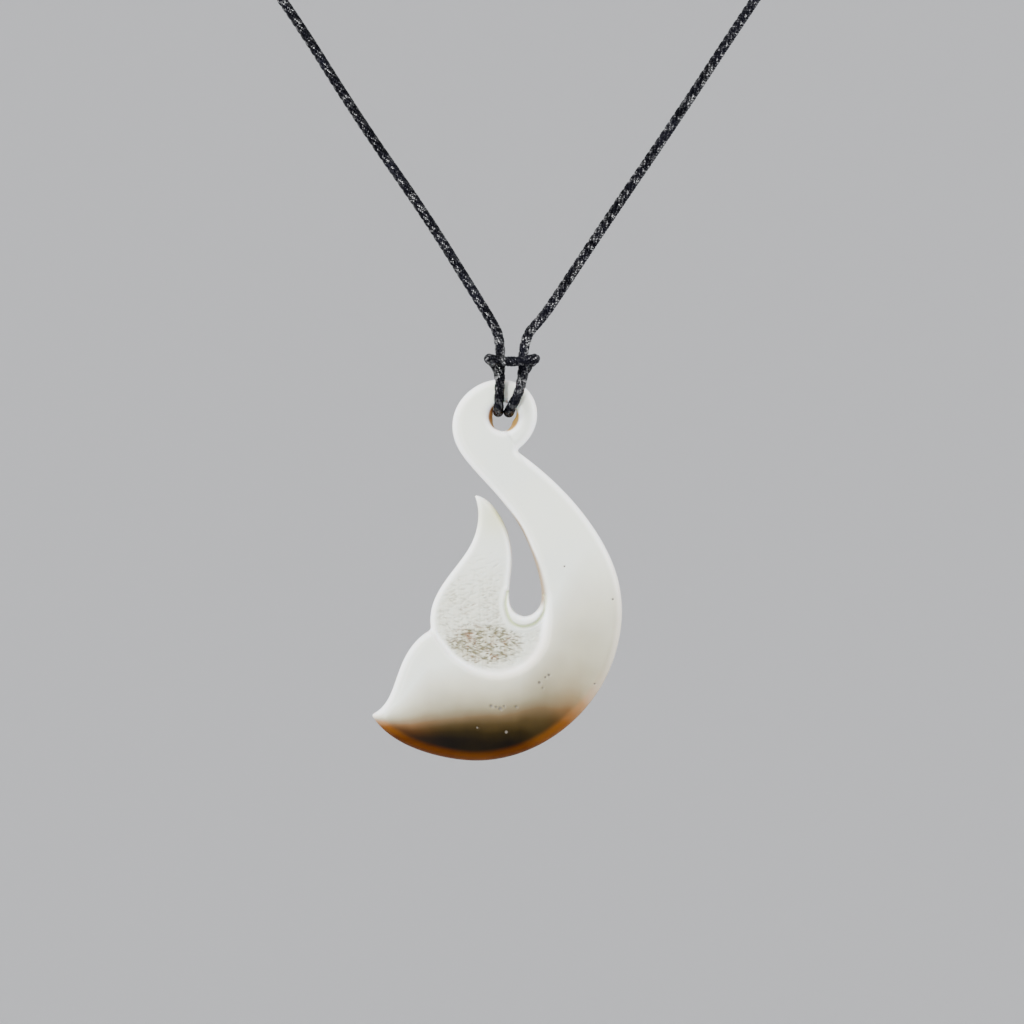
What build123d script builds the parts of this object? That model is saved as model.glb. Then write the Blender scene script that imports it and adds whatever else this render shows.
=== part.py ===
"""Bone fish hook pendant on a waxed neck cord.

A flat carved hook hangs from the middle of one cord, which passes twice
through the hook's ring in a lark's head hitch and closes at the nape.
Units are millimetres. X is the wearer's left to right as seen from in front,
-Y is the front, Z is up, and the origin is where the cord sits on the nape.
"""

from build123d import *
import math
import os

# The carved hook
pendant_height = 50.0
pendant_width = 32.8
body_thickness = 6.0     # at the thickest place, in the shank's bend
dome_radius = 330.0      # front and back are both shallow domes
edge_round = 1.25        # rounded edge all round the outline
hole_diameter = 3.8
hole_round = 1.0         # worn lip of the hole
wall_share = 0.85        # most of a thin wall that its rounded edges may take up
bar_height = 3.0         # bone left above the hole, which the cord holds

# The carved relief on the front
recess_depth = 0.9       # the tine and upper lobe lie this much lower
lip_depth = 0.45         # the rim round the throat lies this much lower

# The cord and its closure
cord_diameter = 1.35
bend_share = 0.45        # part of a run that its bend may take up
knot_diameter = 4.4
knot_length = 9.0
knot_round = 0.9

# Where the hook hangs, below and in front of the nape
hang_x = -1.1            # middle of the hole
hang_y = -120.2          # middle of the hook's thickness
swing_z = -130.9         # middle of the bar that the cord goes round

# Outline of the hook in front view. Columns: across, as a share of the width
# from the middle of the hole, and down, as a share of the height from the top
shank_line = [
    (0.048, 0.186), (0.195, 0.264), (0.360, 0.390), (0.453, 0.516),
    (0.472, 0.602), (0.456, 0.694), (0.394, 0.799), (0.254, 0.909),
    (0.096, 0.972), (-0.086, 0.999), (-0.252, 0.988), (-0.391, 0.957),
    (-0.468, 0.925), (-0.529, 0.879),
]
barb_line = [
    (-0.529, 0.879), (-0.468, 0.845), (-0.439, 0.804), (-0.400, 0.736),
    (-0.348, 0.685), (-0.289, 0.656),
]
lobe_line = [
    (-0.289, 0.656), (-0.277, 0.579), (-0.193, 0.493), (-0.127, 0.429),
    (-0.101, 0.364), (-0.117, 0.302),
]
throat_and_ring_line = [
    (-0.117, 0.302), (-0.077, 0.312), (-0.023, 0.349), (0.016, 0.400),
    (0.034, 0.474), (0.022, 0.558), (0.037, 0.604), (0.090, 0.621),
    (0.143, 0.597), (0.152, 0.563), (0.130, 0.488), (0.069, 0.390),
    (-0.026, 0.303), (-0.136, 0.223), (-0.196, 0.159), (-0.200, 0.096),
    (-0.141, 0.033), (-0.014, 0.000), (0.099, 0.030), (0.134, 0.096),
    (0.104, 0.152), (0.048, 0.186),
]

# Step between the full face and the lowered tine, same columns
step_line = [
    (-0.289, 0.656), (-0.250, 0.693), (-0.190, 0.735), (-0.106, 0.766),
    (-0.006, 0.774), (0.094, 0.747), (0.152, 0.697), (0.168, 0.636),
    (0.166, 0.568),
]
# Outer edge of the rim round the throat, same columns
lip_line = [
    (0.166, 0.568), (0.162, 0.589), (0.153, 0.611), (0.124, 0.635),
    (0.074, 0.644), (0.032, 0.631), (0.013, 0.594), (0.018, 0.558),
]
# Way round outside the hook that closes a lowered region, same columns
outside_line = [
    (0.060, 0.470), (-0.060, 0.280), (-0.400, 0.280), (-0.400, 0.600),
    (-0.289, 0.656),
]

# Thickest place of the domes, same columns
dome_middle = (0.286, 0.578)

# Route of the cord, chosen by hand. Columns: x, y, z, and the bend's radius,
# or None where the bend is as large as its two runs allow
cord_route = [
    (-knot_length / 2, 0.0, 0.0, None),
    (-24.0, 0.0, 0.0, None),
    (-43.5, -8.0, -4.0, None),
    (-58.5, -25.5, -13.5, None),
    (-60.5, -49.5, -29.0, None),
    (-49.5, -75.5, -51.5, None),
    (-31.0, -95.4, -77.1, None),
    (-20.5, -104.3, -94.2, None),
    (-11.4, -111.1, -107.4, None),
    (-1.38, -119.6, -123.8, 6.0),
    (-1.62, -122.95, -130.25, 2.4),
    (-1.90, -122.95, -133.66, 2.3),
    (-1.90, -117.45, -133.66, 2.3),
    (-2.00, -117.45, -130.3, 2.2),
    (-2.95, -120.1, -126.1, 1.6),
    (-2.95, -123.15, -127.1, 1.3),
    (2.80, -123.15, -127.1, 1.3),
    (2.80, -120.1, -126.1, 1.6),
    (0.00, -117.35, -130.3, 2.0),
    (-0.45, -117.35, -133.72, 1.7),
    (-0.45, -123.15, -133.72, 1.7),
    (1.30, -123.15, -130.15, 2.2),
    (1.38, -119.6, -123.8, 6.0),
    (11.6, -111.1, -107.4, None),
    (20.4, -104.6, -94.8, None),
    (32.2, -95.4, -77.1, None),
    (50.5, -75.5, -51.0, None),
    (61.0, -50.0, -29.0, None),
    (59.0, -26.0, -13.5, None),
    (44.0, -8.0, -4.0, None),
    (24.5, 0.0, 0.0, None),
    (knot_length / 2, 0.0, 0.0, None),
]

# Worked out from the sizes above
top_z = swing_z + bar_height / 2
hole_down = bar_height + hole_diameter / 2
front_view = Plane(origin=(hang_x, hang_y, top_z), x_dir=(1, 0, 0), z_dir=(0, -1, 0))


def places(rows):
    """Points of the front view, in millimetres, from rows of shares."""
    return [(across * pendant_width, -down * pendant_height) for across, down in rows]


def rim_thickness():
    """Thickness between the domes at the outline's point furthest from their middle."""
    middle = places([dome_middle])[0]
    outline = places(shank_line + barb_line + lobe_line + throat_and_ring_line)
    furthest = max(math.dist(point, middle) for point in outline)
    dome_drop = dome_radius - math.sqrt(dome_radius ** 2 - furthest ** 2)
    return body_thickness - 2 * dome_drop


def ring_wall():
    """Width of the bone round the hole where it is thinnest."""
    from_hole = [math.dist(point, (0, -hole_down)) for point in places(throat_and_ring_line)]
    return min(from_hole) - hole_diameter / 2


def dome_centre(side, depth=0.0):
    """Middle of the ball whose skin is the front (side 1) or back (-1) dome."""
    across, up = places([dome_middle])[0]
    reach = dome_radius - body_thickness / 2 + depth
    return (hang_x + across, hang_y + side * reach, top_z + up)


def lowered_region(edge_rows, depth):
    """Bone to take off the front inside edge_rows, down to depth below the dome."""
    with BuildPart() as region:
        with BuildSketch(front_view):
            with BuildLine():
                Spline(*places(step_line))
                if edge_rows:
                    Spline(*places(edge_rows))
                Polyline(*places((edge_rows or step_line)[-1:] + outside_line))
            make_face()
        extrude(amount=body_thickness)
        with Locations(dome_centre(1, depth)):
            Sphere(dome_radius, mode=Mode.SUBTRACT)
    return region.part


def free_radius(before, corner, after):
    """Radius of a cord's bend that is as large as its two runs allow."""
    run_in = Vector(corner) - Vector(before)
    run_out = Vector(after) - Vector(corner)
    half_turn = math.radians(run_in.get_angle(run_out)) / 2
    return bend_share * min(run_in.length, run_out.length) / math.tan(half_turn)


def bend_radii(route):
    """One radius for each corner of the route."""
    radii = []
    for before, corner, after in zip(route, route[1:], route[2:]):
        chosen = corner[3]
        radii.append(chosen or free_radius(before[:3], corner[:3], after[:3]))
    return radii


edge_radius = min(edge_round, wall_share * rim_thickness() / 2)
hole_edge_radius = min(hole_round, wall_share * (ring_wall() - edge_radius))
with BuildPart() as bone_hook:
    with BuildSketch(front_view):
        with BuildLine():
            Spline(*places(shank_line))
            Spline(*places(barb_line))
            Spline(*places(lobe_line))
            Spline(*places(throat_and_ring_line))
        make_face()
        with Locations((0, -hole_down)):
            Circle(hole_diameter / 2, mode=Mode.SUBTRACT)
    extrude(amount=body_thickness, both=True)
    for side in (1, -1):
        with Locations(dome_centre(side)):
            Sphere(dome_radius, mode=Mode.INTERSECT)
    for face in bone_hook.faces().filter_by(GeomType.SPHERE):
        fillet(face.outer_wire().edges(), radius=edge_radius)
    for face in bone_hook.faces().filter_by(GeomType.SPHERE):
        fillet(face.inner_wires()[0].edges(), radius=hole_edge_radius)
    add(lowered_region([], lip_depth), mode=Mode.SUBTRACT)
    add(lowered_region(lip_line, recess_depth), mode=Mode.SUBTRACT)
bone_hook.part.label = "bone_hook"

cord_points = [row[:3] for row in cord_route]
cord_radii = bend_radii(cord_route)
with BuildPart() as neck_cord:
    with BuildLine() as cord_line:
        FilletPolyline(*cord_points, radius=cord_radii)
    cord_path = cord_line.wire()
    with BuildSketch(Plane(origin=cord_path @ 0, z_dir=cord_path % 0)):
        Circle(cord_diameter / 2)
    sweep()
neck_cord.part.label = "neck_cord"

with BuildPart() as nape_knot:
    Cylinder(knot_diameter / 2, knot_length, rotation=(0, 90, 0))
    fillet(nape_knot.edges().filter_by(GeomType.CIRCLE), radius=knot_round)
nape_knot.part.label = "nape_knot"

tube_volume = math.pi * (cord_diameter / 2) ** 2 * cord_path.length
print("cord radii", [round(radius, 1) for radius in cord_radii])
print("cord length", round(cord_path.length, 1))
print("cord volume / section x length", round(neck_cord.part.volume / tube_volume, 4))
print("rounded edges", round(edge_radius, 3), round(hole_edge_radius, 3))

os.makedirs("parts", exist_ok=True)
export_step(bone_hook.part, "parts/bone_hook.step")
export_step(neck_cord.part, "parts/neck_cord.step")
export_step(nape_knot.part, "parts/nape_knot.step")
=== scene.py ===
"""Carved bone fish hook on its waxed neck cord: the finish of every piece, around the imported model."""

import math
import random

import bpy
import numpy as np
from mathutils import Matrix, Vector, kdtree, noise


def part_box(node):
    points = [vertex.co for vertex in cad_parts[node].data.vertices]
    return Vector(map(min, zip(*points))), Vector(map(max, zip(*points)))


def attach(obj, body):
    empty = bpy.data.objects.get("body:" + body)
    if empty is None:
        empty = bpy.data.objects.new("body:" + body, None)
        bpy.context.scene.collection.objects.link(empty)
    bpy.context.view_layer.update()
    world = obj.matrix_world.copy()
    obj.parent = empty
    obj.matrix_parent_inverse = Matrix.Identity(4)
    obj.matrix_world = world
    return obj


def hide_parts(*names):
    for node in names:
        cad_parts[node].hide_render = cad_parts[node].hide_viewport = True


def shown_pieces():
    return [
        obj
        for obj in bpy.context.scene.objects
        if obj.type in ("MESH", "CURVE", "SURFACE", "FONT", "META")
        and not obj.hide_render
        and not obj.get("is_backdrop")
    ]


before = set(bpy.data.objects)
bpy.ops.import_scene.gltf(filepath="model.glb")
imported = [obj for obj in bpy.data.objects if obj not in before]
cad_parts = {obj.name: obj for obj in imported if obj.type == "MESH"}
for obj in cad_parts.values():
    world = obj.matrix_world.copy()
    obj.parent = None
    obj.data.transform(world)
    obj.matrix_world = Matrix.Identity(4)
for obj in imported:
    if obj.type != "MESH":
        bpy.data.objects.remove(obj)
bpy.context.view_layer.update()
hook_low, hook_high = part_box("bone_hook")
knot_low, knot_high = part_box("nape_knot")

MM = 0.001

# The hook's own measures, from the frame
hook_width = hook_high.x - hook_low.x
hook_height = hook_high.z - hook_low.z
hook_middle_y = (hook_low.y + hook_high.y) / 2
hook_half_thickness = (hook_high.y - hook_low.y) / 2

# Places on the hook are shares of its size. Across is counted from the hole's
# middle, in widths, and down from the hook's top, in heights
hole_from_left = 0.529

# Shape of the carving, as in the solids
dome_radius = 330.0 * MM
dome_middle = (0.286, 0.578)
hole_radius = 1.9 * MM
hole_middle = (0.0, 0.098)
edge_round = 1.25 * MM
hole_round = 1.0 * MM
recess_depth = 0.9 * MM
lip_depth = 0.45 * MM

# Surface of the carving, made again as fine even faces
join_gap = 0.001 * MM
voxel = 0.21 * MM
smoothing = 0.5
smoothing_rounds = 4
wall_band = 0.25 * MM              # points this near the middle of the thickness are on a wall
on_wall = 0.1 * MM                 # points this near a wall keep their place between the faces
face_start = (0.20 * MM, 0.45 * MM)     # from the wall, where a face is put in its place
pit_margin = 0.25                  # finer faces reach this far round a pit, in mm

# Finish of the carving, which the solids leave plain
tine_round = 0.5 * MM              # rounded edge of the lowered part
hole_wall_slack = 0.06 * MM        # within this, the nearest wall is taken to be the hole's
step_width_left = 0.7 * MM
step_width_right = 1.35 * MM
step_outside = 0.6                 # share of the step's width that lies outside its line
step_highlight_place = 0.1             # middle and width of the step's painted highlight, in its widths
step_highlight_width = 0.5
lip_width = 0.3 * MM
groove_depth = 0.12 * MM           # a shallow groove round the rim of the throat
groove_out = 0.14 * MM
groove_width = 0.18 * MM
shoulder_height = 0.13 * MM        # and a low swelling round the groove
shoulder_out = 0.6 * MM
shoulder_width = 0.22 * MM
curl_drop = 0.40 * MM              # the curl's end lies this much lower than the shank
curl_edge = (-0.10 * MM, 0.35 * MM)     # where the drop starts, and is whole, beside the crease
curl_reach = 1.6 * MM              # how far from the crease it fades away
curl_on = (-0.35, 0.20)            # where the drop comes on and goes off, along the crease
curl_off = (1.4, 2.2)
hand_wave = 0.03 * MM              # slow unevenness of faces carved by hand
hand_wave_size = 7 * MM
hand_wave_seed = 3.1
hand_wave_start = (0.3 * MM, 1.5 * MM)  # from the wall, where it comes on

# The hole is drilled by hand, so its wall is drawn in at its waist, on two sides.
# Directions and widths of the sides are in degrees
bore_waist = 0.55 * MM
bore_waist_half = 0.95 * MM        # half the height of the waist
bore_waist_back = 0.1 * MM         # how far it lies behind the middle of the thickness
bore_near = 0.5 * MM               # bone this near the hole moves with its wall
left_side = 172
left_side_width = 30
left_side_share = 0.8
right_side = -28
right_side_width = 36

# Peck marks of the floor
peck_seed = 11
peck_tries = 4600
peck_depth = 0.22 * MM
peck_corner_low = (-0.30, 0.79)
peck_corner_high = (0.18, 0.33)
peck_half_length = (0.25, 0.85)    # in mm
peck_half_width = (0.12, 0.19)
peck_turn = (0.05, 0.32)           # mean and spread, in radians
peck_least = 0.25                  # strength of the faintest mark, where 1 is the deepest
peck_faint_place = 0.35            # share of its strength that a mark keeps in the smoothest place
peck_sharpness = 1.5
peck_middle = (-0.080, 0.694)      # the roughest part of the floor, and its reach
peck_reach = (0.170, 0.060)
peck_fade = (0.55, 1.35)           # where the roughness fades, in shares of that reach
upper_pecks = 0.50                 # strength of the pecks further up the tine
upper_pecks_on = (0.42, 0.60)      # where they come on and go off, down
upper_pecks_off = (0.62, 0.76)
# Where the floor comes on, from the step, from the wall and from the throat's rim
floor_from_step = (0.1 * MM, 0.9 * MM)
floor_from_wall = (0.5 * MM, 1.3 * MM)
floor_from_lip = (0.8 * MM, 1.2 * MM)

# Waxed round braid: four threads each way round a core
braid_radius = 0.71 * MM           # to the top of a thread; its mean is the cord's 0.675 mm
threads_each_way = 4
braid_lay = 5.4 * MM               # length of one turn of a thread
thread_half_width = 0.37 * MM      # measured round the cord
thread_half_height = 0.13 * MM
weave_wave = 0.075 * MM            # how far a thread goes in and out
weave_flatness = 1.5               # the flatter, the longer a thread stays outside
steps_per_crossing = 4
core_radius = 0.42 * MM
core_corners = 8
core_stride = 6                    # the core has one ring for this many of a thread's
middle_radius = braid_radius - weave_wave - thread_half_height
braid_step = braid_lay / (2 * threads_each_way) / steps_per_crossing
knot_places_per_turn = 12

# Camera, level in front of the hook
camera_distance = 0.70
sensor_width = 36.0
picture_middle_down = 0.3478
picture_width_in_heights = 2.6877

# Studio, in metres
floor_below_hook = 0.40
studio_radius = 3.2
studio_height = 3.0
studio_bend = 1.5

# Soft lamps. Columns: name, place (across, behind the middle of the hook's thickness,
# above the hook's top), size, watts
lamps = [
    ("key_light", -0.21, -0.18, 0.25, 0.17, 2.9),
    ("fill_light", 0.25, -0.95, 0.20, 0.8, 3.2),
    ("glint_light", -0.30, -0.70, -0.02, 0.07, 8.5),
    ("left_edge_light", -0.5, 0.45, 0.2, 0.35, 2.5),
    ("right_edge_light", 0.5, -0.04, 0.15, 0.25, 5.0),
]

# Step between the full face and the lowered tine. Columns: across, down
step_line = [
    (-0.289, 0.656), (-0.250, 0.693), (-0.190, 0.735), (-0.106, 0.766),
    (-0.006, 0.774), (0.094, 0.747), (0.152, 0.697), (0.168, 0.636),
    (0.166, 0.568),
]
# Way round outside the hook that closes the lowered part
outside_line = [(0.060, 0.470), (-0.060, 0.280), (-0.400, 0.280), (-0.400, 0.600)]
# Outer edge of the rim round the throat
lip_line = [
    (0.166, 0.568), (0.162, 0.589), (0.153, 0.611), (0.124, 0.635),
    (0.074, 0.644), (0.032, 0.631), (0.013, 0.594), (0.018, 0.558),
]
# Faint crease where the curl's end meets the shank
crease_line = [(0.006, 0.138), (0.046, 0.185)]

# Pores of the bone that show as pits. Columns: across, down, radius in mm
pits = [
    (-0.050, 0.855, 0.26), (-0.030, 0.858, 0.20), (-0.014, 0.862, 0.32),
    (0.002, 0.856, 0.17), (0.050, 0.857, 0.21), (0.010, 0.923, 0.27), (-0.106, 0.912, 0.20),
    (0.142, 0.794, 0.24), (0.155, 0.808, 0.16), (0.166, 0.780, 0.19), (0.180, 0.774, 0.24),
    (0.242, 0.490, 0.18), (0.434, 0.576, 0.20), (0.362, 0.797, 0.18),
]
pore_depth = 0.16 * MM

# The staining along the lower edge, whose faint start also paints shade towards the lower right.
# Columns: across, and down to where it has come on by each of stain_and_shade_steps
stain_and_shade_steps = (0.25, 0.50, 0.75, 0.95)
stain_and_shade_rows = [
    (-0.474, 0.882, 0.892, 0.909, 0.936), (-0.414, 0.860, 0.885, 0.910, 0.941),
    (-0.294, 0.798, 0.861, 0.904, 0.941), (-0.174, 0.782, 0.842, 0.897, 0.941),
    (-0.054, 0.784, 0.833, 0.888, 0.952), (0.066, 0.768, 0.824, 0.886, 0.955),
    (0.166, 0.696, 0.775, 0.889, 1.000), (0.246, 0.625, 0.765, 0.903, 1.000),
    (0.306, 0.590, 0.765, 0.920, 1.010), (0.366, 0.575, 0.800, 0.999, 1.100),
    (0.454, 0.560, 0.841, 1.080, 1.200),
]
# Where the stain turns from olive to orange, across: all orange, then none, at
# the left, and none, then all orange, at the right
warm_left = (-0.41, -0.20)
warm_right = (0.15, 0.29)
# Shank side of the throat, on whose wall painted shade and an amber glow of light through the bone lie
throat_side = [
    (0.138, 0.602), (0.150, 0.580), (0.148, 0.545), (0.130, 0.488), (0.100, 0.436),
    (0.069, 0.390), (0.030, 0.350), (-0.018, 0.306),
]
# How far the painted amber reaches from the wall: places down, then reaches in mm
throat_reach_rows = ((0.31, 0.38, 0.45, 0.54, 0.59), (0.10, 0.35, 0.50, 0.95, 0.90))
throat_soft = 0.25                 # share of that reach where the amber is full
throat_start = (0.315, 0.375)      # the amber comes on between these places down
throat_fade = (0.575, 0.615)       # and ends between these
# Greenish yellow place on the tine: across, down and reach in mm
tine_tint = (-0.030, 0.362, 2.6)
tine_tint_inside = 0.45            # its share away from the edge
# From the wall, where the white painted highlight of the edges ends and where the clearer rim of the
# staining ends
near_edge_gap = (0.10 * MM, 1.0 * MM)
rim_gap = (0.15 * MM, 1.95 * MM)
bore_lip = 0.22 * MM               # the hole's painted amber glow ends this far from its wall
bore_spread = 4                    # it is this many times as strong as the drawing-in, up to full

# Colours of the bone
warm_face = (0.610, 0.635, 0.558, 1)
cool_face = (0.576, 0.607, 0.552, 1)
fibre_grey = (0.55, 0.56, 0.51, 1)
# Painted highlight: white laid on the edges and along the rounded step, where they catch the light
highlight_white = (0.93, 0.935, 0.93, 1)
floor_dust = (0.345, 0.332, 0.240, 1)
rust_dirt = (0.125, 0.060, 0.024, 1)
olive_dirt = (0.100, 0.086, 0.038, 1)
tine_yellow = (0.46, 0.465, 0.205, 1)
# Painted shade and amber glow of light through the bone, on the throat's wall
throat_shade_glow_amber = (0.21, 0.135, 0.055, 1)
groove_green = (0.42, 0.49, 0.235, 1)
pore_grey = (0.12, 0.105, 0.085, 1)
# Painted amber glow of light through the bone, on the hole's wall
bore_glow_brown = (0.36, 0.13, 0.02, 1)
bore_glow_gold = (0.37, 0.21, 0.015, 1)
# Tints of the staining, by how far it has come on; the pale first stops are painted shade towards the lower
# right. Columns: share, red, green, blue
olive_stain_and_shade = [
    (0.06, 1.0, 1.0, 1.0), (0.28, 0.76, 0.71, 0.63), (0.46, 0.46, 0.41, 0.325),
    (0.62, 0.215, 0.170, 0.105), (0.70, 0.130, 0.080, 0.035), (0.78, 0.052, 0.031, 0.008),
    (0.86, 0.017, 0.0100, 0.0010), (0.95, 0.003, 0.0013, 0.0001),
]
orange_stain_and_shade = [
    (0.06, 1.0, 1.0, 1.0), (0.28, 0.76, 0.71, 0.63), (0.46, 0.46, 0.41, 0.32),
    (0.60, 0.240, 0.165, 0.088), (0.70, 0.145, 0.065, 0.016), (0.80, 0.055, 0.018, 0.0012),
    (0.92, 0.012, 0.0035, 0.0003),
]
# Colour of the clearer rim of the stain, same columns
amber_rim = [
    (0.40, 0.43, 0.345, 0.265), (0.60, 0.23, 0.125, 0.052), (0.78, 0.115, 0.041, 0.006),
    (0.95, 0.048, 0.0125, 0.0004),
]

# Patterns of the bone. Columns: scale of the soft pattern, scale of the fine one
cloud_scales = (90.0, 1400.0)
speck_scales = (900.0, 4000.0)
fibre_scales = (600.0, 3200.0)
fibre_stretch = (1.0, 1.0, 0.12)   # fibres run up the hook
cloud_detail = 3.0
grain_detail = 4.0
# How the bone's colours lie. Pairs are where a colour comes on, as its pattern or mask
# rises, and shares are how strongly it covers there
face_clouds = (0.35, 0.65)
fibre_streaks = (0.45, 0.75)
fibre_share = 0.10
# Shares of the white painted highlight on the edges and on the step
edge_highlight_share = 0.85
step_highlight_share = 0.95
stain_sway = 0.28                  # how far clouds move the edge of the stain
stain_streaks = 0.012
rim_sway = 0.3
rim_on = (0.08, 0.85)
rim_stain = (0.40, 0.60)
dust_flecks = (0.35, 0.65)
dust_share = (0.60, 1.0)
peck_dirt = (0.10, 0.85)
rough_floor = (0.0, 0.90)
dirt_share = (0.15, 0.95)
dirt_specks = (0.36, 0.54)
tine_share = 0.90
# Painted shade and amber glow on the throat's wall
throat_share = 0.90
groove_share = 0.90
pore_on = (0.15, 0.80)
# Painted amber glow in the hole
bore_clouds = (0.40, 0.60)
bore_share = 0.95
# Surface of the bone. Its polish wears off where the stain is dark and in the hole
rough_flecks = (0.30, 0.70)
bone_roughness = (0.36, 0.46)
floor_roughness = 0.25             # added on the pecked floor
scratch_height = 0.10
grain_height = 0.06
bone_relief = 0.05 * MM
dull_stain = (0.50, 0.90)
bone_polish = 0.42
relief_strength = 0.12             # of the bone and of the cord

# Colours and surface of the waxed cord, same columns for its patterns
wax_black = (0.0008, 0.0008, 0.0013, 1)
wax_dark = (0.003, 0.003, 0.005, 1)
wax_scales = (260.0, 5200.0)
spot_scales = (1300.0, 5200.0)
wax_clouds = (0.35, 0.70)
wax_grain = (0.30, 0.70)
wax_roughness = (0.13, 0.24)
wax_spots = (0.45, 0.67)
wax_relief = 0.03 * MM

# Route of the cord, in metres. Its ends lie a little way inside the turns of the knot
cord_route = [
    (-0.0025, 0.0, 0.0), (-0.0240, 0.0, 0.0), (-0.0435, -0.0080, -0.0040),
    (-0.0585, -0.0255, -0.0135), (-0.0605, -0.0495, -0.0290),
    (-0.0495, -0.0755, -0.0515), (-0.0310, -0.0954, -0.0771),
    (-0.0205, -0.1043, -0.0942), (-0.0114, -0.1111, -0.1074),
    (-0.0052, -0.1164, -0.11755), (-0.00285, -0.1183, -0.1214),
    (-0.00150, -0.11955, -0.12390),
    (-0.00158, -0.12295, -0.13025), (-0.00180, -0.12295, -0.13366),
    (-0.00180, -0.11740, -0.13366), (-0.00170, -0.11730, -0.13080),
    (-0.00165, -0.11790, -0.12860), (-0.00225, -0.11890, -0.12730),
    (-0.00310, -0.12060, -0.12665), (-0.00285, -0.12235, -0.12680),
    (-0.00150, -0.12320, -0.12705), (0.00000, -0.12335, -0.12715),
    (0.00150, -0.12320, -0.12705), (0.00285, -0.12235, -0.12680),
    (0.00310, -0.12060, -0.12665), (0.00225, -0.11890, -0.12730),
    (0.00145, -0.11790, -0.12860),
    (0.00100, -0.11725, -0.13090), (-0.00042, -0.11735, -0.13372),
    (-0.00042, -0.12315, -0.13372), (0.00140, -0.12315, -0.13030),
    (0.00150, -0.11955, -0.1239), (0.00405, -0.1182, -0.1212), (0.0065, -0.1163, -0.1175),
    (0.0131, -0.1111, -0.1074), (0.0216, -0.1046, -0.0948),
    (0.0330, -0.0954, -0.0771), (0.0505, -0.0755, -0.0510),
    (0.0610, -0.0500, -0.0290), (0.0590, -0.0260, -0.0135),
    (0.0440, -0.0080, -0.0040), (0.0245, 0.0, 0.0), (0.0025, 0.0, 0.0),
]

# Section of a thread. Columns: share of its half width, share of its half height
thread_section = [
    (-1.0, -0.1), (-0.85, 0.5), (-0.45, 0.9), (0.0, 1.0),
    (0.45, 0.9), (0.85, 0.5), (1.0, -0.1), (0.0, -0.6),
]


def front_place(across, down):
    """Place in the front view, as (x, z), of a point given in shares of the hook."""
    return (hook_low.x + (hole_from_left + across) * hook_width, hook_high.z - down * hook_height)


def shares_of(places):
    """Places of the front view as shares of the hook, across and down."""
    across = (places[:, 0] - hook_low.x) / hook_width - hole_from_left
    down = (hook_high.z - places[:, 1]) / hook_height
    return across, down


def only(piece):
    """Makes piece the one selected and active object."""
    bpy.ops.object.select_all(action="DESELECT")
    piece.select_set(True)
    bpy.context.view_layer.objects.active = piece


def apply_modifier(piece, kind, **settings):
    """Adds a modifier with these settings and applies it."""
    only(piece)
    modifier = piece.modifiers.new(kind.lower(), kind)
    for name, value in settings.items():
        setattr(modifier, name, value)
    bpy.ops.object.modifier_apply(modifier=modifier.name)


def points_of(piece):
    """Places of the piece's points, one row each."""
    points = np.empty(len(piece.data.vertices) * 3)
    piece.data.vertices.foreach_get("co", points)
    return points.reshape(-1, 3)


def move_points(piece, points):
    """Puts the piece's points in these places."""
    piece.data.vertices.foreach_set("co", points.ravel())
    piece.data.update()


def write_mask(piece, name, values):
    """Keeps one value for each point of the piece, for its material to read."""
    mask = piece.data.attributes.new(name, "FLOAT", "POINT")
    mask.data.foreach_set("value", values.astype(np.float32))


def rise(value, low, high):
    """0 below low, 1 above high and a smooth rise between."""
    share = np.clip((value - low) / (high - low), 0.0, 1.0)
    return share * share * (3.0 - 2.0 * share)


def bell(value, width):
    """1 at zero, falling to nothing over about twice the width."""
    return np.exp(-((value / width) ** 2))


def smooth_line(rows, steps=12):
    """Points of a smooth line through rows of shares, as (x, z), with this many to a row."""
    corners = [Vector(front_place(*row)) for row in rows]
    corners = [2 * corners[0] - corners[1], *corners, 2 * corners[-1] - corners[-2]]
    line = []
    for before, start, end, after in zip(corners, corners[1:], corners[2:], corners[3:]):
        for step in range(steps):
            share = step / steps
            bend = 2 * before - 5 * start + 4 * end - after
            twist = 3 * start - 3 * end + after - before
            line.append(0.5 * (2 * start + (end - before) * share + bend * share ** 2 + twist * share ** 3))
    return np.array([*line, corners[-2]])


def line_distance(places, line):
    """Distance of each place from a line of points."""
    nearest = np.full(len(places), np.inf)
    for start, end in zip(line, line[1:]):
        run = end - start
        share = np.clip((places - start) @ run / (run @ run), 0.0, 1.0)
        gap = np.linalg.norm(places - start - share[:, None] * run, axis=1)
        nearest = np.minimum(nearest, gap)
    return nearest


def inside(places, loop):
    """True for each place that lies inside a closed loop of points."""
    found = np.zeros(len(places), bool)
    for (ax, az), (bx, bz) in zip(loop, np.roll(loop, -1, axis=0)):
        if az == bz:
            continue
        at_this_height = (az > places[:, 1]) != (bz > places[:, 1])
        crossing = ax + (places[:, 1] - az) * (bx - ax) / (bz - az)
        found ^= at_this_height & (places[:, 0] < crossing)
    return found


def signed_distance(places, line, loop):
    """Distance from a line, positive inside the loop that it is part of."""
    gap = line_distance(places, line)
    return np.where(inside(places, loop), gap, -gap)


def distance_from(places, across, down):
    """Distance of each place from one place given in shares of the hook."""
    return np.linalg.norm(places - front_place(across, down), axis=1)


step_curve = smooth_line(step_line)
lip_curve = smooth_line(lip_line)
step_loop = np.vstack([step_curve, [front_place(*row) for row in outside_line]])
notch_x, _ = front_place(*step_line[0])
step_right_x, _ = front_place(*step_line[-2])


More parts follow.
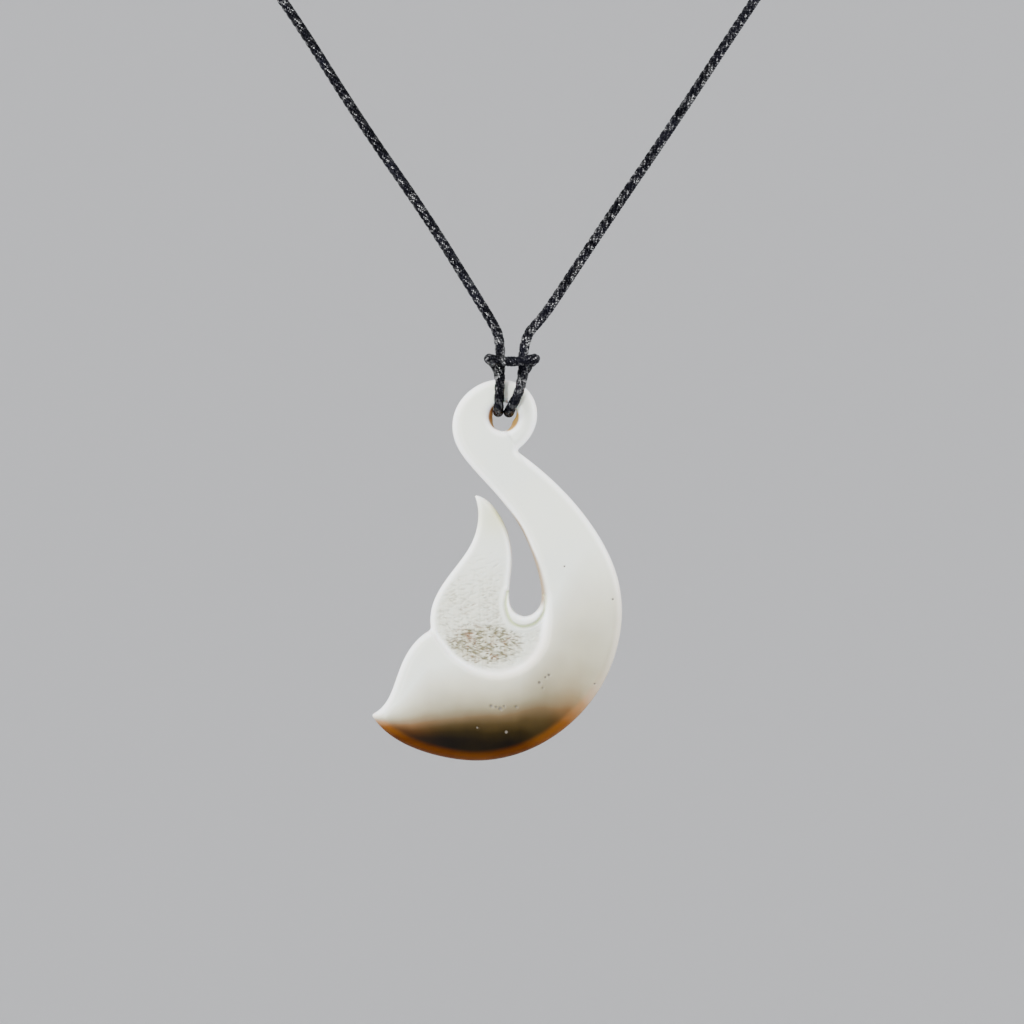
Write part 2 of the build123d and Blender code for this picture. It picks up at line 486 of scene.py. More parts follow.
class Relief:
    """The carved relief at each place of the front view, with each place's gap from the wall."""

    def __init__(self, places, wall_gap):
        self.places = places
        self.wall_gap = wall_gap
        self.step_gap = signed_distance(places, step_curve, step_loop)
        width = np.interp(places[:, 0], [notch_x, step_right_x], [step_width_left, step_width_right])
        self.lowered = rise(self.step_gap, -width * step_outside, width * (1 - step_outside))
        # Band along the rounded step where its painted highlight lies
        self.step_highlight_band = bell(self.step_gap / width - step_highlight_place, step_highlight_width)
        self.lip_gap = signed_distance(places, lip_curve, lip_curve)
        self.on_lip = rise(self.lip_gap, -lip_width / 2, lip_width / 2) * self.lowered
        self.groove = bell(self.lip_gap + groove_out, groove_width) * self.lowered
        shoulder = bell(self.lip_gap + shoulder_out, shoulder_width) * self.lowered
        depth = recess_depth * self.lowered * (1 - self.on_lip) + lip_depth * self.on_lip
        depth += groove_depth * self.groove - shoulder_height * shoulder
        self.depth = depth + self.curl()

    def curl(self):
        """How much lower the end of the curl lies than the shank it meets."""
        start, end = (np.array(front_place(*row)) for row in crease_line)
        length = np.linalg.norm(end - start)
        along = (end - start) / length
        across = np.array([-along[1], along[0]])
        side = (self.places - start) @ across
        share = (self.places - start) @ along / length
        kept = rise(share, *curl_on) * (1 - rise(share, *curl_off))
        return curl_drop * rise(side, *curl_edge) * np.exp(-np.maximum(side, 0) / curl_reach) * kept

    def rounding(self, radius):
        """Drop of a rounded edge of this radius, by the gap from the wall."""
        inward = np.clip(radius - self.wall_gap, 0.0, radius)
        return radius - np.sqrt(radius ** 2 - inward ** 2)

    def edge_radii(self):
        """Radius of the edge nearest to each place, on the front and on the back."""
        from_hole = distance_from(self.places, *hole_middle) - hole_radius
        back = np.where(from_hole < self.wall_gap + hole_wall_slack, hole_round, edge_round)
        return back + (tine_round - back) * self.lowered, back

    def dome(self):
        """Distance of the plain domes from the middle of the thickness."""
        from_middle = distance_from(self.places, *dome_middle)
        return hook_half_thickness - dome_radius + np.sqrt(dome_radius ** 2 - from_middle ** 2)

    def faces(self):
        """Distances of the front face and the back face from the middle of the thickness."""
        front_radius, back_radius = self.edge_radii()
        dome = self.dome()
        return dome - self.depth - self.rounding(front_radius), dome - self.rounding(back_radius)


def wall_tree(points):
    """Search tree of the walls' places, from the points at the middle of the thickness."""
    places = points[np.abs(points[:, 1] - hook_middle_y) < wall_band][:, [0, 2]]
    tree = kdtree.KDTree(len(places))
    for index, (x, z) in enumerate(places):
        tree.insert((x, z, 0.0), index)
    tree.balance()
    return tree


def seat_faces(piece, tree, walls_too):
    """Puts the points of the front and back where the relief and the domes have them."""
    points = points_of(piece)
    gaps = np.array([tree.find((x, z, 0.0))[2] for x, _, z in points])
    relief = Relief(points[:, [0, 2]], gaps)
    out = points[:, 1] - hook_middle_y
    front, back = relief.faces()
    front = -front
    target = np.where(out < 0, front, back)
    if walls_too:
        held = np.where(out < 0, np.maximum(out, front), np.minimum(out, back))
        moved = np.where(gaps < on_wall, held, target)
    else:
        moved = out + (target - out) * rise(gaps, *face_start)
    points[:, 1] = hook_middle_y + moved
    move_points(piece, points)
    return relief


def refine(piece):
    """Divides the faces of the pecked floor and round the pits once more."""
    points = points_of(piece)
    places = points[:, [0, 2]]
    fine = inside(places, step_loop)
    for across, down, radius in pits:
        fine |= distance_from(places, across, down) < (radius + pit_margin) * MM
    fine &= points[:, 1] < hook_middle_y
    only(piece)
    piece.data.vertices.foreach_set("select", fine)
    edge_ends = np.empty(len(piece.data.edges) * 2, int)
    piece.data.edges.foreach_get("vertices", edge_ends)
    piece.data.edges.foreach_set("select", fine[edge_ends.reshape(-1, 2)].all(axis=1))
    piece.data.polygons.foreach_set(
        "select", [all(fine[end] for end in face.vertices) for face in piece.data.polygons])
    bpy.ops.object.mode_set(mode="EDIT")
    bpy.ops.mesh.select_mode(type="FACE")
    bpy.ops.mesh.subdivide(number_cuts=1, smoothness=0.0)
    bpy.ops.mesh.select_all(action="SELECT")
    bpy.ops.mesh.quads_convert_to_tris(quad_method="BEAUTY", ngon_method="BEAUTY")
    bpy.ops.object.mode_set(mode="OBJECT")


def peck_strength(places):
    """How strongly the floor is pecked: most round one place, fading up the tine."""
    across, down = shares_of(places)
    away = np.hypot((across - peck_middle[0]) / peck_reach[0], (down - peck_middle[1]) / peck_reach[1])
    upper = upper_pecks * rise(down, *upper_pecks_on) * (1 - rise(down, *upper_pecks_off))
    return np.maximum(1 - rise(away, *peck_fade), upper)


def pecked(relief):
    """Depth of the peck marks of the floor, and how rough the floor is, both from 0 to 1."""
    shaker = random.Random(peck_seed)
    low, high = front_place(*peck_corner_low), front_place(*peck_corner_high)
    depth = np.zeros(len(relief.places))
    for _ in range(peck_tries):
        middle = np.array([shaker.uniform(low[0], high[0]), shaker.uniform(low[1], high[1])])
        length = shaker.uniform(*peck_half_length) * MM
        width = shaker.uniform(*peck_half_width) * MM
        turn = shaker.gauss(*peck_turn)
        strength = shaker.uniform(peck_least, 1.0)
        roughness = peck_strength(middle[None])[0]
        if not inside(middle[None], step_loop)[0] or shaker.random() > roughness:
            continue
        strength *= peck_faint_place + (1 - peck_faint_place) * roughness
        away = relief.places - middle
        along = away[:, 0] * math.cos(turn) + away[:, 1] * math.sin(turn)
        across = away[:, 1] * math.cos(turn) - away[:, 0] * math.sin(turn)
        reach = (along / length) ** 2 + (across / width) ** 2
        depth = np.maximum(depth, strength * np.clip(1 - reach, 0, 1) ** peck_sharpness)
    floor = relief.lowered * (1 - relief.on_lip) * rise(relief.step_gap, *floor_from_step)
    floor = floor * rise(relief.wall_gap, *floor_from_wall) * rise(-relief.lip_gap, *floor_from_lip)
    return depth * floor, floor * peck_strength(relief.places)


def pitted(relief):
    """Depth of the pores, from 0 to 1."""
    depth = np.zeros(len(relief.places))
    for across, down, radius in pits:
        reach = distance_from(relief.places, across, down) / (radius * MM)
        depth = np.maximum(depth, np.clip(1 - reach ** 2, 0, 1))
    return depth


def stained_and_shaded(places):
    """How far the brown staining has come on, its faint start painted shade: 0 clear, 1 at its darkest."""
    across, down = shares_of(places)
    rows = np.array(stain_and_shade_rows)
    levels = [np.interp(across, rows[:, 0], rows[:, k + 1]) for k in range(len(stain_and_shade_steps))]
    levels.insert(0, 2 * levels[0] - levels[1])
    stain_and_shade = np.zeros(len(places))
    for low, high, before, after in zip(levels, levels[1:], (0.0, *stain_and_shade_steps), stain_and_shade_steps):
        stain_and_shade += (after - before) * np.clip((down - low) / (high - low), 0.0, 1.0)
    return stain_and_shade


def waves(points, size, seed):
    """Slow unevenness of a hand-carved face, from -1 to 1."""
    shift = Vector((seed, seed * 1.7, seed * 0.3))
    return np.array([noise.noise(Vector(point) / size + shift) for point in points])


def bore_sides(points):
    """How near the left side and the lower right side of the hole each point lies."""
    away = points[:, [0, 2]] - front_place(*hole_middle)
    angle = np.degrees(np.arctan2(away[:, 1], away[:, 0]))
    return bell(np.abs(angle) - left_side, left_side_width), bell(angle - right_side, right_side_width)


def narrow_bore(piece):
    """Draws the wall of the hole in at its waist, left and lower right, as if drilled by hand."""
    points = points_of(piece)
    middle = np.array(front_place(*hole_middle))
    away = points[:, [0, 2]] - middle
    reach = np.linalg.norm(away, axis=1)
    left, right = bore_sides(points)
    near = 1 - rise(reach, hole_radius, hole_radius + bore_near)
    waist = bell(points[:, 1] - hook_middle_y - bore_waist_back, bore_waist_half)
    drawn = bore_waist * np.maximum(left_side_share * left, right) * near * waist
    points[:, [0, 2]] = middle + away * ((reach - drawn) / reach)[:, None]
    move_points(piece, points)


def throat_shade_glow(places):
    """Where painted shade and an amber glow of light through the bone lie on the throat's wall, on the
    shank's side.
    """
    _, down = shares_of(places)
    gap = line_distance(places, smooth_line(throat_side))
    reach = np.interp(down, *throat_reach_rows) * MM
    wall = 1 - rise(gap / reach, throat_soft, 1.0)
    return wall * rise(down, *throat_start) * (1 - rise(down, *throat_fade))


def hook_copy():
    """A copy of the hook's solid, with its loose triangles joined, to be finished."""
    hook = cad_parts["bone_hook"].copy()
    hook.data = hook.data.copy()
    hook.data.materials.clear()
    hook.parent = None
    hook.name = "carved_hook"
    hook.data.name = "carved_hook"
    for key in list(hook.keys()):
        del hook[key]
    bpy.context.scene.collection.objects.link(hook)
    only(hook)
    bpy.ops.object.mode_set(mode="EDIT")
    bpy.ops.mesh.select_all(action="SELECT")
    bpy.ops.mesh.remove_doubles(threshold=join_gap)
    bpy.ops.object.mode_set(mode="OBJECT")
    return hook


def carve(hook):
    """Gives the hook fine even faces and puts them where its relief has them."""
    apply_modifier(hook, "REMESH", mode="VOXEL", voxel_size=voxel)
    tree = wall_tree(points_of(hook))
    seat_faces(hook, tree, walls_too=True)
    apply_modifier(hook, "REMESH", mode="VOXEL", voxel_size=voxel)
    apply_modifier(hook, "SMOOTH", factor=smoothing, iterations=smoothing_rounds)
    seat_faces(hook, tree, walls_too=False)
    refine(hook)
    return seat_faces(hook, tree, walls_too=False)


def carved_hook():
    """The hook, from a copy of its solid, with its relief rounded and its floor pecked."""
    hook = hook_copy()
    relief = carve(hook)
    places = relief.places
    points = points_of(hook)
    front = points[:, 1] < hook_middle_y
    pecks, floor = pecked(relief)
    pecks, floor, pores = pecks * front, floor * front, pitted(relief) * front
    points[:, 1] += peck_depth * pecks + pore_depth * pores
    wave = hand_wave * waves(points, hand_wave_size, hand_wave_seed)
    points[:, 1] += wave * rise(relief.wall_gap, *hand_wave_start)
    move_points(hook, points)
    narrow_bore(hook)

    points = points_of(hook)
    left, right = bore_sides(points)
    sides = np.clip(bore_spread * np.maximum(left, right), 0, 1)
    from_hole = distance_from(points[:, [0, 2]], *hole_middle)
    near_edge = 1 - rise(relief.wall_gap, *near_edge_gap)
    tint = bell(distance_from(places, *tine_tint[:2]), tine_tint[2] * MM)
    tint = tint * (tine_tint_inside + (1 - tine_tint_inside) * near_edge)
    across, _ = shares_of(places)
    masks = {
        # Near the edges: where the white painted highlight lies, and where the tine's tint grows
        "near_edge": near_edge,
        "rim": 1 - rise(relief.wall_gap, *rim_gap),
        # Along the step: its painted highlight
        "step": relief.step_highlight_band * front,
        "floor": floor,
        "pecks": pecks,
        "groove": relief.groove * front,
        "pores": pores,
        # The hole's wall: painted amber glow of light through the bone
        "bore_glow": sides * (1 - rise(from_hole, hole_radius, hole_radius + bore_lip)),
        # The throat's wall: painted shade and amber glow
        "throat_shade_glow": throat_shade_glow(places),
        "tine_tint": tint * relief.lowered * front,
        # Staining towards the lower edge; its faint start is painted shade
        "stain_and_shade": stained_and_shaded(places),
        "warmth": 1 - rise(across, *warm_left) + rise(across, *warm_right),
    }
    for name, values in masks.items():
        write_mask(hook, name, values)
    only(hook)
    bpy.ops.object.shade_smooth()
    return hook


def line_through(name, places, resolution):
    """Points of the smooth line that these control points give."""
    curve = bpy.data.curves.new(name, "CURVE")
    curve.dimensions = "3D"
    curve.resolution_u = resolution
    spline = curve.splines.new("NURBS")
    spline.points.add(len(places) - 1)
    for point, place in zip(spline.points, places):
        point.co = (*place, 1.0)
    spline.order_u = 3
    spline.use_endpoint_u = True
    holder = bpy.data.objects.new(name, curve)
    bpy.context.scene.collection.objects.link(holder)
    bpy.context.view_layer.update()
    line = bpy.data.meshes.new_from_object(holder)
    points = np.array([vertex.co for vertex in line.vertices])
    bpy.data.objects.remove(holder)
    bpy.data.meshes.remove(line)
    return points


class Run:
    """A smooth line walked in even steps, with a frame at each step that doesn't twist."""

    def __init__(self, points, step):
        gaps = np.linalg.norm(np.diff(points, axis=0), axis=1)
        points = points[np.concatenate([[True], gaps > 1e-9])]
        lengths = np.concatenate([[0], np.cumsum(np.linalg.norm(np.diff(points, axis=0), axis=1))])
        self.length = lengths[-1]
        count = int(round(self.length / step)) + 1
        self.along = np.linspace(0, self.length, count)
        self.places = np.stack([np.interp(self.along, lengths, points[:, k]) for k in range(3)], axis=1)
        ahead = np.gradient(self.places, axis=0)
        ahead /= np.linalg.norm(ahead, axis=1)[:, None]
        normal = np.cross(ahead[0], (0.0, 0.0, 1.0))
        normals = []
        for direction in ahead:
            normal = normal - (normal @ direction) * direction
            normal = normal / np.linalg.norm(normal)
            normals.append(normal)
        self.out = np.array(normals)
        self.side = np.cross(ahead, self.out)

    def corner_line(self, first, last, angle, radius):
        """Points at this angle and radius round the line, for a stretch of its steps."""
        out, side = self.out[first:last], self.side[first:last]
        turned = np.cos(angle)[:, None] * out + np.sin(angle)[:, None] * side
        return self.places[first:last] + radius[:, None] * turned


class Tubes:
    """Closed tubes gathered into one mesh."""

    def __init__(self):
        self.points = []
        self.faces = []
        self.count = 0

    def add(self, corner_lines):
        """Adds a tube, from the line of points along each corner of its section."""
        grid = np.stack(corner_lines, axis=1)
        rings, corners, _ = grid.shape
        ring = np.arange(rings - 1)[:, None] * corners
        here = np.arange(corners)[None]
        after = (here + 1) % corners
        sides = [ring + here, ring + here + corners, ring + after + corners, ring + after]
        self.faces.extend((np.stack(sides, axis=2).reshape(-1, 4) + self.count).tolist())
        last_ring = self.count + (rings - 1) * corners
        self.faces.append([self.count + k for k in range(corners)])
        self.faces.append([last_ring + k for k in reversed(range(corners))])
        self.points.append(grid.reshape(-1, 3))
        self.count += rings * corners

    def piece(self, name):
        """The gathered tubes as one smooth piece whose faces point outwards."""
        mesh = bpy.data.meshes.new(name)
        mesh.from_pydata(np.vstack(self.points).tolist(), [], self.faces)
        mesh.update()
        piece = bpy.data.objects.new(name, mesh)
        bpy.context.scene.collection.objects.link(piece)
        only(piece)
        bpy.ops.object.shade_smooth()
        bpy.ops.object.mode_set(mode="EDIT")
        bpy.ops.mesh.select_all(action="SELECT")
        bpy.ops.mesh.normals_make_consistent(inside=False)
        bpy.ops.object.mode_set(mode="OBJECT")
        return piece


def thread(run, first, last, way, number):
    """Corner lines of one thread, which winds this way round and weaves in and out."""
    turn = 2 * math.pi * run.along[first:last] / braid_lay
    lines = []
    for share, height in thread_section:
        swing = share * thread_half_width / middle_radius
        angle = way * turn + 2 * math.pi * number / threads_each_way + swing
        phase = threads_each_way * (2 * turn + way * swing / 2)
        wave = way * np.tanh(weave_flatness * np.cos(phase)) / math.tanh(weave_flatness)
        radius = middle_radius + weave_wave * wave + height * thread_half_height
        lines.append(run.corner_line(first, last, angle, radius))
    return lines


def core(run, first, last):
    """Corner lines of the plain core, with fewer rings than the threads."""
    rings = last - first
    picked = list(range(0, rings - 1, core_stride)) + [rings - 1]
    lines = []
    for k in range(core_corners):
        angle = np.full(rings, 2 * math.pi * k / core_corners)
        line = run.corner_line(first, last, angle, np.full(rings, core_radius))
        lines.append(line[picked])
    return lines


def braid(name, run, first, last):
    """One stretch of round braid along a run: threads both ways round a plain core."""
    tubes = Tubes()
    for way in (1, -1):
        for number in range(threads_each_way):
            tubes.add(thread(run, first, last, way, number))
    tubes.add(core(run, first, last))
    return tubes.piece(name)


def neck_cord():
    """The whole cord in three stretches that meet: left, round the ring and right."""
    run = Run(line_through("cord_line", cord_route, 64), braid_step)
    count = len(run.along)
    cuts = [0, count // 3, 2 * count // 3, count - 1]
    names = ["cord_left", "cord_hitch", "cord_right"]
    print("cord length", round(run.length, 4))
    return [braid(name, run, start, end + 1) for name, start, end in zip(names, cuts, cuts[1:])]


def wound_knot():
    """The closure at the nape: turns of the cord wound side by side and pulled tight."""
    coil_radius = (knot_high.z - knot_low.z) / 2 - braid_radius
    coil_length = knot_high.x - knot_low.x - 2 * braid_radius
    turns = round(coil_length / (2 * braid_radius)) + 0.5
    count = int(turns * knot_places_per_turn)
    places = []
    for k in range(count + 1):
        angle = 2 * math.pi * turns * k / count
        x = knot_low.x + braid_radius + coil_length * k / count
        places.append((x, coil_radius * math.cos(angle), coil_radius * math.sin(angle)))
    run = Run(line_through("knot_line", places, 12), braid_step)
    return braid("wound_knot", run, 0, len(run.along))


def join(tree, value, socket):
    """Links an output to a socket, or sets the socket to a plain value."""
    if isinstance(value, bpy.types.NodeSocket):
        tree.links.new(value, socket)
    else:
        socket.default_value = value


def mix_colour(tree, share, first, second, kind="MIX"):
    """Mixes two colours. The colour sockets of a mix node are its inputs 6 and 7."""
    made = tree.nodes.new("ShaderNodeMix")
    made.data_type = "RGBA"
    made.blend_type = kind
    join(tree, share, made.inputs[0])
    join(tree, first, made.inputs[6])
    join(tree, second, made.inputs[7])
    return made.outputs[2]


def maths(tree, kind, first, second=0.0, third=0.0):
    """One step of arithmetic on values."""
    made = tree.nodes.new("ShaderNodeMath")
    made.operation = kind
    for value, socket in zip((first, second, third), made.inputs):
        join(tree, value, socket)
    return made.outputs[0]


def between(tree, value, low, high, out_low=0.0, out_high=1.0):
    """Maps value smoothly from low..high to out_low..out_high."""
    made = tree.nodes.new("ShaderNodeMapRange")
    made.interpolation_type = "SMOOTHSTEP"
    for given, socket in zip((value, low, high, out_low, out_high), made.inputs):
        join(tree, given, socket)
    return made.outputs[0]


def swayed(tree, value, pattern, reach):
    """A value moved up and down by a pattern of 0 to 1."""
    return maths(tree, "MULTIPLY_ADD", maths(tree, "SUBTRACT", pattern, 0.5), reach, value)


def ramp(tree, value, stops):
    """Colour for a value, through stops of place, red, green and blue."""
    made = tree.nodes.new("ShaderNodeValToRGB")
    made.color_ramp.interpolation = "LINEAR"
    for number, (where, *tint) in enumerate(stops):
        if number < 2:
            stop = made.color_ramp.elements[number]
        else:
            stop = made.color_ramp.elements.new(where)
        stop.position = where
        stop.color = (*tint, 1)
    join(tree, value, made.inputs[0])
    return made.outputs[0]


def mask_of(tree, name):
    """The value that write_mask kept on the piece."""
    made = tree.nodes.new("ShaderNodeAttribute")
    made.attribute_name = name
    return made.outputs["Fac"]


def tinted(tree, colour, name, strength, tint):
    """Mixes a tint into a colour where a mask of the piece lies."""
    share = maths(tree, "MULTIPLY", mask_of(tree, name), strength)
    return mix_colour(tree, share, colour, tint)


def bumped(tree, shader, height, distance):
    """Gives the shader a fine relief, this deep where height is 1."""
    made = tree.nodes.new("ShaderNodeBump")
    made.inputs["Strength"].default_value = relief_strength
    made.inputs["Distance"].default_value = distance
    join(tree, height, made.inputs["Height"])
    join(tree, made.outputs[0], shader.inputs["Normal"])


def new_material(name):
    """A material with one Principled shader, its node tree and that shader."""
    made = bpy.data.materials.new(name)
    made.use_nodes = True
    tree = made.node_tree
    tree.nodes.clear()
    shader = tree.nodes.new("ShaderNodeBsdfPrincipled")
    output = tree.nodes.new("ShaderNodeOutputMaterial")
    tree.links.new(shader.outputs[0], output.inputs[0])
    return made, tree, shader


def cloud_group():
    """Shared effect: soft clouds and a fine grain, each of its own scale."""
    group = bpy.data.node_groups.new("cloudy_grain", "ShaderNodeTree")
    group.interface.new_socket("Vector", in_out="INPUT", socket_type="NodeSocketVector")
    for name, value in (("Cloud Scale", 100.0), ("Grain Scale", 1500.0)):
        socket = group.interface.new_socket(name, in_out="INPUT", socket_type="NodeSocketFloat")
        socket.default_value = value
    for name in ("Cloud", "Grain"):
        group.interface.new_socket(name, in_out="OUTPUT", socket_type="NodeSocketFloat")
    entry = group.nodes.new("NodeGroupInput")
    leave = group.nodes.new("NodeGroupOutput")
    for name, detail in (("Cloud", cloud_detail), ("Grain", grain_detail)):
        pattern = group.nodes.new("ShaderNodeTexNoise")
        pattern.inputs["Detail"].default_value = detail
        group.links.new(entry.outputs["Vector"], pattern.inputs["Vector"])
        group.links.new(entry.outputs[name + " Scale"], pattern.inputs["Scale"])
        group.links.new(pattern.outputs["Fac"], leave.inputs[name])
    return group


def clouds(tree, group, place, cloud_scale, grain_scale):
    """Places the shared effect and returns its clouds and its grain."""
    made = tree.nodes.new("ShaderNodeGroup")
    made.node_tree = group
    join(tree, place, made.inputs["Vector"])
    made.inputs["Cloud Scale"].default_value = cloud_scale
    made.inputs["Grain Scale"].default_value = grain_scale
    return made.outputs["Cloud"], made.outputs["Grain"]


def along_fibres(tree, place):
    """Places drawn together along the bone's fibres, which run up the hook."""
    made = tree.nodes.new("ShaderNodeMapping")
    join(tree, place, made.inputs["Vector"])
    made.inputs["Scale"].default_value = fibre_stretch
    return made.outputs[0]


def clean_face(tree, cloud, streak):
    """Cream bone, cloudy and faintly streaked, with white painted highlights on the edges and along the
    rounded step.
    """
    colour = mix_colour(tree, between(tree, cloud, *face_clouds), warm_face, cool_face)
    streaks = between(tree, streak, *fibre_streaks, 0.0, fibre_share)
    colour = mix_colour(tree, streaks, colour, fibre_grey)
    # Painted highlights: the edges and the rounded step are made whiter
    edges = maths(tree, "MULTIPLY", mask_of(tree, "near_edge"), edge_highlight_share)
    step = maths(tree, "MULTIPLY", mask_of(tree, "step"), step_highlight_share)
    return mix_colour(tree, maths(tree, "MAXIMUM", edges, step), colour, highlight_white)


def stained_and_shaded_face(tree, colour, share, cloud):
    """The staining that darkens towards the lower edge, its faint start painted shade towards the lower
    right, and its clearer rim.
    """
    olive = ramp(tree, share, olive_stain_and_shade)
    orange = ramp(tree, share, orange_stain_and_shade)
    tints = mix_colour(tree, mask_of(tree, "warmth"), olive, orange)
    colour = mix_colour(tree, 1.0, colour, tints, "MULTIPLY")
    edge = between(tree, swayed(tree, mask_of(tree, "rim"), cloud, rim_sway), *rim_on)
    rim = maths(tree, "MULTIPLY", edge, between(tree, share, *rim_stain))
    return mix_colour(tree, rim, colour, ramp(tree, share, amber_rim))


def worked_face(tree, colour, floor, cloud, speck, fleck):
    """Colours of the pecked floor, the tine, the groove and the pores, with painted shade and amber glow of
    light through the bone on the throat's wall, and that painted glow in the hole.
    """
    dusty = maths(tree, "MULTIPLY", floor, between(tree, fleck, *dust_flecks, *dust_share))
    colour = mix_colour(tree, dusty, colour, floor_dust)
    pecks = between(tree, mask_of(tree, "pecks"), *peck_dirt)
    dirty = maths(tree, "MULTIPLY", pecks, between(tree, floor, *rough_floor, *dirt_share))
    dirt = mix_colour(tree, between(tree, speck, *dirt_specks), rust_dirt, olive_dirt)
    colour = mix_colour(tree, dirty, colour, dirt)
    colour = tinted(tree, colour, "tine_tint", tine_share, tine_yellow)
    # Painted shade and amber glow of light through the bone, on the throat's wall
    colour = tinted(tree, colour, "throat_shade_glow", throat_share, throat_shade_glow_amber)
    colour = tinted(tree, colour, "groove", groove_share, groove_green)
    colour = mix_colour(tree, between(tree, mask_of(tree, "pores"), *pore_on), colour, pore_grey)
    # Painted amber glow of light through the bone, on the hole's wall
    amber = mix_colour(tree, between(tree, cloud, *bore_clouds), bore_glow_brown, bore_glow_gold)
    return tinted(tree, colour, "bore_glow", bore_share, amber)


def polished_bone(group):
    """Polished bone: cream, with staining along the lower edge whose faint start is painted shade, dirt
    left in the carving, white painted highlights on the edges and the step, painted shade and an amber glow
    of light through the bone on the throat's wall, and that glow painted in the hole.
    """
    made, tree, shader = new_material("polished_bone")
    place = tree.nodes.new("ShaderNodeTexCoord").outputs["Object"]
    cloud, grain = clouds(tree, group, place, *cloud_scales)
    speck, _ = clouds(tree, group, place, *speck_scales)
    streak, fleck = clouds(tree, group, along_fibres(tree, place), *fibre_scales)
    floor = mask_of(tree, "floor")
    # The staining, whose faint start is painted shade, moved by the clouds and the fibres' streaks
    wavy = swayed(tree, mask_of(tree, "stain_and_shade"), cloud, stain_sway)
    share = swayed(tree, wavy, streak, stain_streaks)

    colour = clean_face(tree, cloud, streak)
    colour = stained_and_shaded_face(tree, colour, share, cloud)
    colour = worked_face(tree, colour, floor, cloud, speck, fleck)
    join(tree, colour, shader.inputs["Base Color"])

    rough = between(tree, fleck, *rough_flecks, *bone_roughness)
    join(tree, maths(tree, "MULTIPLY_ADD", floor, floor_roughness, rough), shader.inputs["Roughness"])
    scratches = maths(tree, "MULTIPLY", fleck, scratch_height)
    grainy = maths(tree, "ADD", floor, grain_height)
    bumped(tree, shader, maths(tree, "MULTIPLY_ADD", grain, grainy, scratches), bone_relief)
    dull = maths(tree, "MAXIMUM", between(tree, share, *dull_stain), mask_of(tree, "bore_glow"))
    join(tree, between(tree, dull, 0.0, 1.0, bone_polish, 0.0), shader.inputs["Coat Weight"])
    shader.inputs["Coat Roughness"].default_value = 0.38
    shader.inputs["Specular IOR Level"].default_value = 0.03
    shader.inputs["IOR"].default_value = 1.54
    shader.inputs["Subsurface Weight"].default_value = 0.3
    shader.inputs["Subsurface Radius"].default_value = (1.0, 0.72, 0.5)
    shader.inputs["Subsurface Scale"].default_value = 1.1 * MM
    return made


def waxed_cord(group):
    """Black waxed thread: dull, with glossy spots of wax."""
    made, tree, shader = new_material("waxed_cord")
    place = tree.nodes.new("ShaderNodeTexCoord").outputs["Object"]
    cloud, grain = clouds(tree, group, place, *wax_scales)
    spots, _ = clouds(tree, group, place, *spot_scales)
    colour = mix_colour(tree, between(tree, cloud, *wax_clouds), wax_black, wax_dark)
    join(tree, colour, shader.inputs["Base Color"])
    join(tree, between(tree, grain, *wax_grain, *wax_roughness), shader.inputs["Roughness"])
    join(tree, between(tree, spots, *wax_spots), shader.inputs["Coat Weight"])
    bumped(tree, shader, grain, wax_relief)
    shader.inputs["Coat Roughness"].default_value = 0.17
    shader.inputs["Coat IOR"].default_value = 1.58
    shader.inputs["Specular IOR Level"].default_value = 0.04
    shader.inputs["Specular Tint"].default_value = (0.84, 0.84, 1.0, 1)
    return made


def studio_paper():
    """Pale matt paper."""
    made, _, shader = new_material("studio_paper")
    shader.inputs["Base Color"].default_value = (0.90, 0.90, 0.91, 1)
    shader.inputs["Roughness"].default_value = 0.9
    return made


def studio():
    """A pale round floor that sweeps up into a wall, far behind the hook from every side."""
    bpy.ops.object.select_all(action="DESELECT")
    middle = (0, hook_middle_y, hook_low.z - floor_below_hook)
    bpy.ops.mesh.primitive_circle_add(vertices=96, radius=studio_radius, fill_type="NGON", location=middle)
    sweep = bpy.context.active_object
    sweep.name = "studio_sweep"
    bpy.ops.object.mode_set(mode="EDIT")
    bpy.ops.mesh.select_all(action="SELECT")
    bpy.ops.mesh.extrude_region_move(TRANSFORM_OT_translate={"value": (0, 0, studio_height)})
    bpy.ops.mesh.delete(type="ONLY_FACE")
    bpy.ops.object.mode_set(mode="OBJECT")
    for edge in sweep.data.edges:
        edge.select = all(sweep.data.vertices[end].co.z < studio_height / 2 for end in edge.vertices)
    bpy.ops.object.mode_set(mode="EDIT")
    bpy.ops.mesh.select_mode(type="EDGE")
    bpy.ops.mesh.bevel(offset=studio_bend, segments=14, affect="EDGES")
    bpy.ops.object.mode_set(mode="OBJECT")
    bpy.ops.object.shade_smooth()
    return sweep


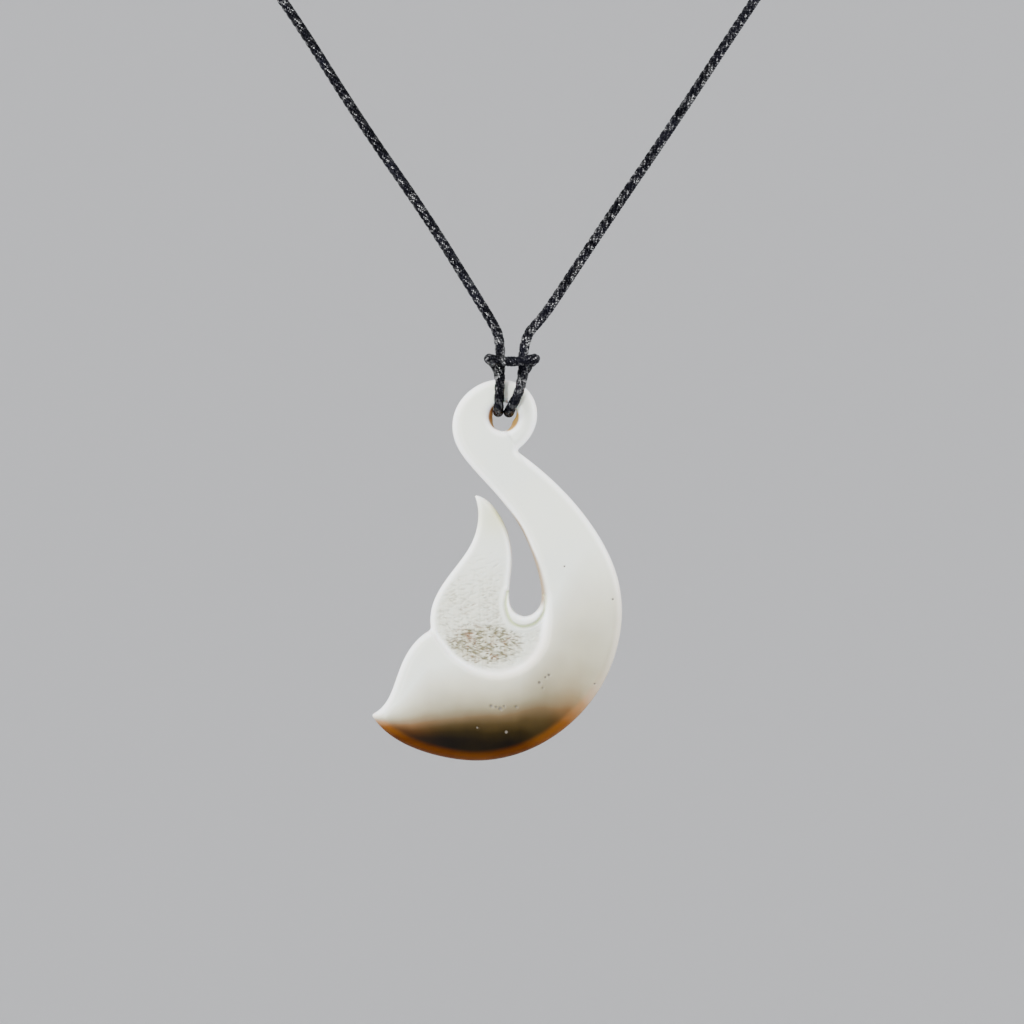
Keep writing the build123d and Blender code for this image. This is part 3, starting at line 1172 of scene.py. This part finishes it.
def lamp(name, across, behind, above, size, watts):
    """A soft square lamp that points at the middle of the hook."""
    target = Vector((0.0, hook_middle_y, (hook_low.z + hook_high.z) / 2))
    place = Vector((across, hook_middle_y + behind, hook_high.z + above))
    light = bpy.data.lights.new(name, "AREA")
    light.shape = "SQUARE"
    light.size = size
    light.energy = watts
    holder = bpy.data.objects.new(name, light)
    bpy.context.scene.collection.objects.link(holder)
    holder.location = place
    holder.rotation_euler = (target - place).to_track_quat("-Z", "Y").to_euler()
    holder.visible_camera = False


def studio_air():
    """Even pale light from all round."""
    world = bpy.data.worlds.new("studio_air")
    world.use_nodes = True
    background = world.node_tree.nodes["Background"]
    background.inputs["Color"].default_value = (0.97, 0.98, 1.0, 1)
    background.inputs["Strength"].default_value = 0.72
    bpy.context.scene.world = world


def camera():
    """The camera at the photograph's angle: level, straight in front of the hook."""
    eye = bpy.data.cameras.new("camera")
    eye.sensor_width = sensor_width
    eye.lens = sensor_width * camera_distance / (hook_height * picture_width_in_heights)
    eye.clip_start = 0.05
    eye.clip_end = 20.0
    holder = bpy.data.objects.new("camera", eye)
    bpy.context.scene.collection.objects.link(holder)
    level = hook_high.z - picture_middle_down * hook_height
    holder.location = (0.0, hook_middle_y - camera_distance, level)
    holder.rotation_euler = (math.radians(90), 0, 0)
    bpy.context.scene.camera = holder


camera()
floor = studio()
floor.data.materials.append(studio_paper())
floor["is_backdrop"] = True
for row in lamps:
    lamp(*row)
studio_air()

cloudy_grain = cloud_group()
bone = polished_bone(cloudy_grain)
wax = waxed_cord(cloudy_grain)

hook = carved_hook()
hook.data.materials.append(bone)
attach(hook, "hook")
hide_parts("bone_hook")

for stretch in neck_cord():
    stretch.data.materials.append(wax)
    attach(stretch, "cord")
    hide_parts("neck_cord")

knot = wound_knot()
knot.data.materials.append(wax)
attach(knot, "cord")
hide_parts("nape_knot")

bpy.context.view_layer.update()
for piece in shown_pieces():
    print(piece.name, "triangles", sum(len(face.vertices) - 2 for face in piece.data.polygons))
